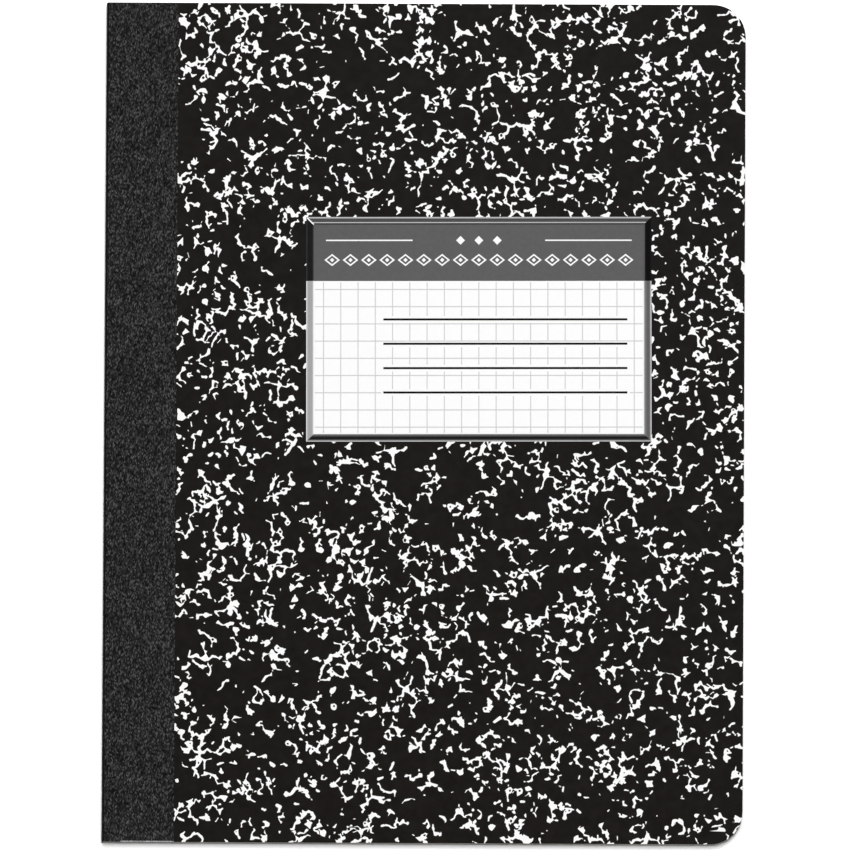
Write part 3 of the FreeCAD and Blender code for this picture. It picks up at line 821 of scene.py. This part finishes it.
def print_room(shape, label):
    """How far inside the printable area each point is, in millimetres."""
    x = TAPE_EDGE_X / MM + np.arange(shape[1]) * MARBLE_STEP
    y = (TAIL / MM + np.arange(shape[0]) * MARBLE_STEP)[:, None]
    radius = CORNER_RADIUS / MM
    half_y = (HEAD - TAIL) / 2 / MM
    sides = np.minimum(x - TAPE_EDGE_X / MM, FORE / MM - x)
    room = np.minimum(sides, half_y - np.abs(y))
    round_x, round_y = x - (FORE / MM - radius), np.abs(y) - (half_y - radius)
    rounded = radius - np.hypot(np.maximum(round_x, 0), np.maximum(round_y, 0))
    room = np.where((round_x > 0) & (round_y > 0), np.minimum(room, rounded), room)
    if label:
        dx, dy = x - LABEL_CORNER.x / MM, y - LABEL_CORNER.y / MM
        along = dx * LABEL_ALONG.x + dy * LABEL_ALONG.y
        up = dx * LABEL_UP.x + dy * LABEL_UP.y
        beside = np.maximum(-along, along - LABEL_WIDTH / MM)
        past = np.maximum(-up, up - LABEL_HEIGHT / MM)
        room = np.minimum(room, np.maximum(beside, past))
    return room


def make_marbling(name, node, seed, body, label):
    """The white of one cover's marble print, as a film on the board."""
    low, high = (corner.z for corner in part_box(node))
    origin = np.array([TAPE_EDGE_X, TAIL])
    flecks = [(outline - origin) / MM for outline in cad_flecks(node, high)]
    width = (FORE - TAPE_EDGE_X) / MM
    height = (HEAD - TAIL) / MM
    heights = marble_heights(seed, width, height, flecks)
    heights = np.minimum(heights, print_room(heights.shape, label))
    outlines = []
    for outline in contour_loops(heights, MARBLE_STEP):
        outline = thin_out(outline, SMOOTHING)
        if len(outline) >= 3 and abs(signed_area(outline)) > LEAST_AREA:
            outlines.append(outline * MM + origin)
    film = make_film(name, outlines, low, high, INK_WHITE)
    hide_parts(node)
    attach(film, body)


make_marbling("front_marble_print", "front_marbling", 11, "front_cover", True)
make_marbling("back_marble_print", "back_marbling", 12, "back_cover", False)


# The boards

LINING_THICKNESS = 0.1 * MM
EDGE_EASE = 0.03 * MM


def board_layer(name, left, low, high, material, cover, slot):
    """One layer of a cover, from a left edge to the fore-edge."""

    def outline_at(inset):
        return cover_outline(
            left + inset, FORE - inset, TAIL + inset, HEAD - inset, CORNER_RADIUS - inset
        )

    layer = make_slab(name, outline_at, low, high, material, EDGE_EASE)
    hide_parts(cover)
    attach(layer, cover)


FRONT_LINING_TOP = COVER_LOW.z + LINING_THICKNESS
BACK_LINING_LOW = BACK_HIGH.z - LINING_THICKNESS
FRONT_LAYERS = (
    ("front_printed_sheet", TAPE_EDGE_X, FLAP_LOW.z, COVER_HIGH.z, INK_BLACK),
    ("front_board_core", HINGE_X, FRONT_LINING_TOP, FLAP_LOW.z, BOARD_CORE),
    ("front_lining", HINGE_X, COVER_LOW.z, FRONT_LINING_TOP, LINING),
)
BACK_LAYERS = (
    ("back_printed_sheet", TAPE_EDGE_X, BACK_LOW.z, BACK_FLAP_HIGH.z, INK_BLACK),
    ("back_board_core", HINGE_X, BACK_FLAP_HIGH.z, BACK_LINING_LOW, BOARD_CORE),
    ("back_lining", HINGE_X, BACK_LINING_LOW, BACK_HIGH.z, LINING),
)
for cover, layers in (("front_cover", FRONT_LAYERS), ("back_cover", BACK_LAYERS)):
    for layer in layers:
        board_layer(*layer, cover, "paper_sheets" if LINING in layer else "printed_board")


# The cloth tape, in two halves that meet at the middle of the spine

SPINE_SWELL = HINGE_X - TAPE_LOW.x - TAPE_THICKNESS
# The spacings of the tape's points across and along it
TAPE_RUN = 1.0 * MM
TAPE_ROW = 1.5 * MM
# Points nearer to the hinge, where the tape bends
HINGE_RUNS = (0.2, 0.4, 0.7, 1.0, 1.4, 2.0)
SPINE_STEPS = 8
BEND_STEPS = 6
# The tape's faint hollows, and where they start
TAPE_SAG = 0.008 * MM
SAG_START = 2 * MM
# How far past the hinge the painted shade of the fold reaches
FOLD_SHADE = 0.02 * MM


def spine_x(z):
    """The block's swollen side at a height."""
    reach = (BLOCK_HIGH.z - BLOCK_LOW.z) / 2
    share = min(1, abs(z - MIDDLE_Z) / reach)
    return HINGE_X - SPINE_SWELL * (1 - share * share)


def tape_profile():
    """Outer and inner points of the front half, from the middle of the spine to the edge."""
    top = FLAP_HIGH.z
    corner_z = top - TAPE_THICKNESS
    outer, inner = [], []
    for i in range(SPINE_STEPS):
        z = MIDDLE_Z + (corner_z - MIDDLE_Z) * i / SPINE_STEPS
        inner.append((spine_x(z), z))
        outer.append((spine_x(z) - TAPE_THICKNESS, z))
    for i in range(BEND_STEPS + 1):
        angle = math.pi - i * math.pi / 2 / BEND_STEPS
        outer.append((
            HINGE_X + TAPE_THICKNESS * math.cos(angle),
            corner_z + TAPE_THICKNESS * math.sin(angle),
        ))
        inner.append((HINGE_X, corner_z))
    width = TAPE_EDGE_X - HINGE_X
    runs = [run * MM for run in HINGE_RUNS]
    run = runs[-1] + TAPE_RUN
    while run < width - TAPE_RUN / 2:
        runs.append(run)
        run += TAPE_RUN
    for run in [*runs, width]:
        outer.append((HINGE_X + run, top))
        inner.append((HINGE_X + run, corner_z))
    return outer, inner


RAW_EDGE = 0.28 * MM
RAW_EDGE_START = 4.0 * MM


def tape_material(along, x):
    """Which of the tape's materials a face has: cloth, the fold's cloth darkened as painted
    shade, or the raw edge's.
    """
    if along < TAIL + RAW_EDGE and x > HINGE_X + RAW_EDGE_START:
        return 2
    return 1 if x < HINGE_X + FOLD_SHADE else 0


def make_tape(name, turn, nodes):
    """Half of the tape. turn is 1 for the front half and -1 for the back half."""
    outer, inner = tape_profile()
    draws = np.random.default_rng(21 if turn > 0 else 22)
    spans = int((HEAD - TAIL - RAW_EDGE) / TAPE_ROW)
    step = (HEAD - TAIL - RAW_EDGE) / spans
    rows = [TAIL] + [TAIL + RAW_EDGE + step * i for i in range(spans + 1)]
    sag = smooth_noise(draws, (len(rows), len(outer)), 3).clip(-1.5, 0) * TAPE_SAG
    vertices, faces, picked = [], [], []
    profile = [*outer, *reversed(inner)]
    count = len(profile)
    for number, y in enumerate(rows):
        for i, (x, z) in enumerate(profile):
            if x > HINGE_X + SAG_START and i < len(outer) - 1:
                z += sag[number, i]
            vertices.append((x, y, MIDDLE_Z + turn * (z - MIDDLE_Z)))
    for row, y in enumerate(rows[:-1]):
        sides = ring_faces(row * count, (row + 1) * count, count)
        for i, face in enumerate(sides):
            faces.append(face if turn < 0 else face[::-1])
            picked.append(tape_material(y, profile[i][0]) if i < len(outer) - 1 else 0)
    for start, flip in ((0, turn > 0), ((len(rows) - 1) * count, turn < 0)):
        for i in range(len(outer) - 1):
            face = (start + i, start + i + 1, start + count - 2 - i, start + count - 1 - i)
            faces.append(face if flip else face[::-1])
            picked.append(0)
    tape = make_object(name, vertices, faces, [CLOTH, CLOTH_FOLD_PAINTED_SHADE, CLOTH_EDGE], picked)
    merge_corners(tape)
    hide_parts(*nodes)
    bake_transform(tape)


make_tape("tape_front_half", 1, ("spine_tape", "front_tape_flap"))
make_tape("tape_back_half", -1, ("spine_tape", "back_tape_flap"))


# The sheets, folded in the middle and nested

SHEET_COUNT = 80
SHEET_GAP = 0.004 * MM
TRIM = 0.03 * MM
# Room above the first page and below the last, which the printed ruling lies in
PAGE_ROOM = 0.012 * MM
STACK = BLOCK_HIGH.z - BLOCK_LOW.z - 2 * PAGE_ROOM
FOLD_EASE = 0.25 * MM


def corner_cut(into):
    """How far a rounded corner cuts in, at a distance into it."""
    return CORNER_RADIUS - math.sqrt(max(0.0, CORNER_RADIUS ** 2 - max(0.0, into) ** 2))


def make_sheets():
    """Forty folded sheets in one another, trimmed at three sides."""
    draw = random.Random(31)
    pitch = STACK / SHEET_COUNT
    vertices, faces = [], []
    for leaf in range(SHEET_COUNT // 2):
        fore = FORE - draw.uniform(0, TRIM)
        tail = TAIL + draw.uniform(0, TRIM)
        head = HEAD - draw.uniform(0, TRIM)
        surfaces = []
        for offset in (leaf * pitch + SHEET_GAP / 2, (leaf + 1) * pitch - SHEET_GAP / 2):
            depth = STACK / 2 - offset
            fold_x = HINGE_X + depth
            upper = []
            for i in range(CORNER_STEPS + 1):
                angle = i * math.pi / 2 / CORNER_STEPS
                upper.append(fore - CORNER_RADIUS + CORNER_RADIUS * math.cos(angle))
            line = [(x, offset) for x in upper]
            ease = min(FOLD_EASE, offset * 0.6)
            line.append((fold_x + ease, offset))
            line.append((fold_x + ease * 0.3, offset - ease * 0.3))
            swell = SPINE_SWELL * offset / (STACK / 2)
            bend = [(fold_x - swell * (1 - t * t), offset * t) for t in (0.7, 0.35)]
            bend = [(x, min(z, offset - ease)) for x, z in bend]
            line += bend
            tip = (fold_x - swell, 0.0)
            mirrored = [(x, -z) for x, z in reversed(line)]
            surfaces.append([*line, tip, *mirrored])
        start = len(vertices)
        for places in zip(*surfaces):
            ring = []
            for x, z in places:
                cut = corner_cut(x - (fore - CORNER_RADIUS))
                ring += [(x, tail + cut, MIDDLE_Z + z), (x, head - cut, MIDDLE_Z + z)]
            vertices += [ring[0], ring[1], ring[3], ring[2]]
        last = len(vertices) - 4
        for first in range(start, last, 4):
            faces += ring_faces(first, first + 4, 4)
        faces += [(start, start + 3, start + 2, start + 1), (last, last + 1, last + 2, last + 3)]
    block = make_object("folded_sheets", vertices, faces, [SHEETS])
    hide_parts("page_block")
    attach(block, "page_block")


make_sheets()

RULING_PITCH = 5.08 * MM
RULING_LINE = 0.2 * MM
RULING_MARGIN = 0.4 * MM


def make_ruling(name, turn):
    """The square ruling of the first page, or of the last where turn is -1.

    Its columns lie on the page and its rows across them.
    """
    page = MIDDLE_Z + turn * STACK / 2
    layer = PAGE_ROOM / 3
    vertices, faces = [], []
    fore = FORE - TRIM - RULING_MARGIN
    reach = HEAD - TRIM - RULING_MARGIN
    radius_x = fore - CORNER_RADIUS
    radius_y = reach - CORNER_RADIUS

    def lay(low, high, level):
        z = sorted((page + turn * layer * level, page + turn * layer * (level + 1)))
        add_box(vertices, faces, (*low, z[0]), (*high, z[1]))

    column = fore - RULING_PITCH / 2
    while column > HINGE_X + RULING_PITCH:
        end = reach - corner_cut(column + RULING_LINE - radius_x)
        lay((column, -end), (column + RULING_LINE, end), 0)
        column -= RULING_PITCH
    row = -RULING_PITCH * int(reach / RULING_PITCH)
    while row + RULING_LINE < reach:
        furthest = max(abs(row), abs(row + RULING_LINE))
        end = fore - corner_cut(furthest - radius_y)
        lay((HINGE_X + RULING_MARGIN, row), (end, row + RULING_LINE), 1)
        row += RULING_PITCH
    ruling = make_object(name, vertices, faces, [RULING])
    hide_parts("page_block")
    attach(ruling, "page_block")


make_ruling("first_page_ruling", 1)
make_ruling("last_page_ruling", -1)


# The label

# The painted highlight along the frame's top left mitre: where it starts, its width and its lift
MITRE_START = 0.3 * MM
MITRE_WIDTH = 0.26 * MM
MITRE_LIFT = 0.02 * MM


def make_frame():
    """The label's bevelled frame, with painted light and shade along its sides over the printed
    white and grey.
    """
    band = (HEADER_CORNER - LABEL_CORNER).dot(LABEL_ALONG)
    split = (HEADER_CORNER - LABEL_CORNER).dot(LABEL_UP)
    bevel = 1.6 * MM
    land = 0.06 * MM
    base, crown = FRAME_LOW.z, FRAME_HIGH.z

    def rise(inset):
        return base + land + (crown - base - land) * min(1.0, inset / bevel)

    # The strips' greys are painted light and shade of the bevel over the label's printed white
    # and grey
    # Shades from the outer edge inwards, each with where it starts, in pixels of the photo
    left_field = ((0, 226), (1, 172), (2, 166), (6.6, 232))
    left_header = ((0, 58), (1, 34), (6.6, 67))
    right_field = ((0, 206), (1, 120), (2, 99), (3, 93), (4, 102), (5, 112), (6.3, 155))
    right_header = ((0, 28), (1, 6), (6.4, 82))
    bottom = ((0, 192), (1, 96), (2, 50), (3, 22), (4, 46), (5, 75), (6.2, 122))
    top = ((0, 192), (1, 130), (2, 62), (3, 83), (4, 52), (5, 190), (6, 91), (6.8, 58))
    plain = 120

    materials, number = [], {}
    vertices, faces, picked = [], [], []

    def on_label(x, y, z):
        place = LABEL_CORNER + LABEL_ALONG * x + LABEL_UP * y
        return place.x, place.y, z

    def place_at(way, inset, z):
        """A place at a mitre, or on the line of the heading's lower edge where up is 0."""
        right, up = way
        x = inset if right < 0 else LABEL_WIDTH - inset
        return on_label(x, (inset, split, LABEL_HEIGHT - inset)[up + 1], z)

    def add_face(start, end, near, far, level):
        """A face from one way to another, between two pairs of an inset and a height."""
        # Each grey of painted light and shade gets its own material
        if level not in number:
            number[level] = len(materials)
            materials.append(printed(f"frame_painted_light_shade_{level}", level))
        for way, place in ((start, near), (end, near), (end, far), (start, far)):
            vertices.append(place_at(way, *place))
        faces.append(tuple(range(len(vertices) - 4, len(vertices))))
        picked.append(number[level])

    def lay(shades, start, end):
        """One side's strips, from one mitre or cut to the next."""
        stops = [pixels * PIXEL for pixels, _ in shades] + [band]
        for (_, level), first, last in zip(shades, stops, stops[1:]):
            cuts = [first, *([bevel] if first < bevel < last else []), last]
            for one, two in zip(cuts, cuts[1:]):
                add_face(start, end, (one, rise(one)), (two, rise(two)), level)

    lay(bottom, (-1, -1), (1, -1))
    lay(right_field, (1, -1), (1, 0))
    lay(right_header, (1, 0), (1, 1))
    lay(top, (1, 1), (-1, 1))
    lay(left_header, (-1, 1), (-1, 0))
    lay(left_field, (-1, 0), (-1, -1))
    # The outer side, the inner side and the underside
    outer_low, inner_low = (0, base), (band, base)
    for near, far in (
        (outer_low, (0, base + land)), (inner_low, (band, crown)), (outer_low, inner_low),
    ):
        for one, two in RING_SIDES:
            add_face(one, two, near, far, plain)
    piece = make_object("label_frame_bevel_painted_shading", vertices, faces, materials, picked)
    merge_corners(piece)

    # The painted highlight along the mitre at the top left
    line = []
    for inset in (MITRE_START, bevel, band):
        for level in (-MITRE_LIFT, MITRE_LIFT):
            for side in (-MITRE_WIDTH / 2, MITRE_WIDTH / 2):
                x, y = inset + side, LABEL_HEIGHT - inset + side
                line.append(on_label(x, y, rise(inset) + level))
    quads = [(0, 1, 3, 2), (8, 10, 11, 9)]
    for first in (0, 4):
        for a, b in ((0, 1), (1, 3), (3, 2), (2, 0)):
            quads.append((first + a, first + 4 + a, first + 4 + b, first + b))
    mitre = make_object("label_mitre_painted_highlight", line, quads, [printed("mitre_highlight_white", 250)])
    merge_corners(mitre)
    for part in (mitre, piece):
        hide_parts("label_frame")
        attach(part, "front_cover")


make_frame()

CARRIED = {
    "sewing_thread": THREAD,
    "label_card": LABEL_PAPER,
    "label_header": printed("header_grey", 95),
    "label_header_marks": printed("header_white", 250),
    "label_rules": printed("rule_black", 8),
    "label_grid": printed("grid_grey", 206),
}
for node, material in CARRIED.items():
    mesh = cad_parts[node].data
    mesh.materials.clear()
    mesh.materials.append(material)


# The stage

FLOOR_SIZE = 6.0
FLOOR_Z = -0.1 * MM
# How far the floor reaches under the book
FLOOR_LAP = 3.0 * MM
FLOOR_LIT = 0.2
FLOOR_SEEN = 1.65


def make_floor():
    """A plain white floor that keeps the shadow and isn't seen from below.

    It is open under the middle of the book, so that the underside is lit too.
    """
    half = FLOOR_SIZE / 2
    reach_x = (BLOCK_HIGH.x - BLOCK_LOW.x) / 2 - FLOOR_LAP
    reach_y = (BLOCK_HIGH.y - BLOCK_LOW.y) / 2 - FLOOR_LAP
    points = [(x * half, y * half, FLOOR_Z) for x, y in RING]
    points += [(x * reach_x, y * reach_y, FLOOR_Z) for x, y in RING]
    material = bpy.data.materials.new("floor_white")
    material.use_nodes = True
    tree = material.node_tree
    tree.nodes.clear()
    path = add_node(tree, "LightPath")
    seen = path["Is Camera Ray"]
    for kind in ("Is Glossy Ray", "Is Transmission Ray"):
        seen = add_node(tree, "Math", ((0, seen), (1, path[kind])), operation="MAXIMUM")[0]
    inputs = [("Factor", seen)]
    for key, level in (("A", FLOOR_LIT), ("B", FLOOR_SEEN)):
        inputs.append((key, (level, level, level, 1)))
    colour = add_node(tree, "Mix", inputs, data_type="RGBA")["Result"]
    surface = add_node(tree, "BsdfDiffuse", [("Color", colour)])[0]
    clear = add_node(tree, "BsdfTransparent")[0]
    behind = add_node(tree, "NewGeometry")["Backfacing"]
    either = add_node(tree, "MixShader", (("Fac", behind), (1, surface), (2, clear)))[0]
    add_node(tree, "OutputMaterial", [("Surface", either)])
    floor = make_object("floor", points, ring_faces(0, 4, 4), [material])


make_floor()


def add_area_light(name, place, size, power):
    """A square soft light that shines at the middle of the book."""
    light = bpy.data.lights.new(name, "AREA")
    light.shape = "SQUARE"
    light.size = size
    light.energy = power
    item = bpy.data.objects.new(name, light)
    item.visible_camera = False
    item.location = place
    item.rotation_euler = (-Vector(place)).to_track_quat("-Z", "Y").to_euler()
    bpy.context.scene.collection.objects.link(item)
    return item


add_area_light("key_light", (0.4, 0.8, 2.1), 1.2, 13)
# The lamp overhead fills without a shadow, and no gloss shows it
overhead = add_area_light("overhead_light", (0.0, 0.1, 2.4), 0.7, 35.5)
overhead.visible_glossy = False

WORLD_LEVEL = 0.2
WORLD_BELOW = 0.9

world = bpy.data.worlds.new("studio")
bpy.context.scene.world = world
world.use_nodes = True
tree = world.node_tree
# Only the underside is lit from below the floor
direction = add_node(tree, "TexCoord")["Generated"]
height = add_node(tree, "SeparateXYZ", [(0, direction)])["Z"]
below = add_node(tree, "Math", ((0, height), (1, 0)), operation="LESS_THAN")[0]
lit = (("Value", below), ("To Min", WORLD_LEVEL), ("To Max", WORLD_BELOW))
level = add_node(tree, "MapRange", lit)[0]
seen = add_node(tree, "LightPath")["Is Camera Ray"]
strength = add_node(tree, "MapRange", (("Value", seen), ("To Min", level), ("To Max", 1.0)))[0]
sky = tree.nodes["Background"].inputs
feed(tree, sky["Color"], (1, 1, 1, 1))
feed(tree, sky["Strength"], strength)


# The camera, far above, a little towards the book's tail

CAMERA_DISTANCE = 5.8
CAMERA_TILT = 4.32
CAMERA_YAW = 0.66
CAMERA_ROLL = 0.30
IMAGE_SIZE = 850
# Where the middle of the picture falls on the front cover
AIM = Vector((0.36 * MM, -0.68 * MM, FLAP_HIGH.z))

camera_data = bpy.data.cameras.new("camera")
camera_data.sensor_width = 36
camera_data.lens = camera_data.sensor_width * CAMERA_DISTANCE / (IMAGE_SIZE * PIXEL)
camera_data.clip_start = 0.1
camera_data.clip_end = 20
camera = bpy.data.objects.new("camera", camera_data)
turn = (
    Matrix.Rotation(math.radians(CAMERA_YAW), 4, "Y")
    @ Matrix.Rotation(math.radians(CAMERA_TILT), 4, "X")
    @ Matrix.Rotation(math.radians(CAMERA_ROLL), 4, "Z")
)
camera.matrix_world = (
    Matrix.Translation(AIM) @ turn @ Matrix.Translation((0, 0, CAMERA_DISTANCE))
)
bpy.context.scene.collection.objects.link(camera)
bpy.context.scene.camera = camera
bpy.context.scene.view_settings.view_transform = "Standard"
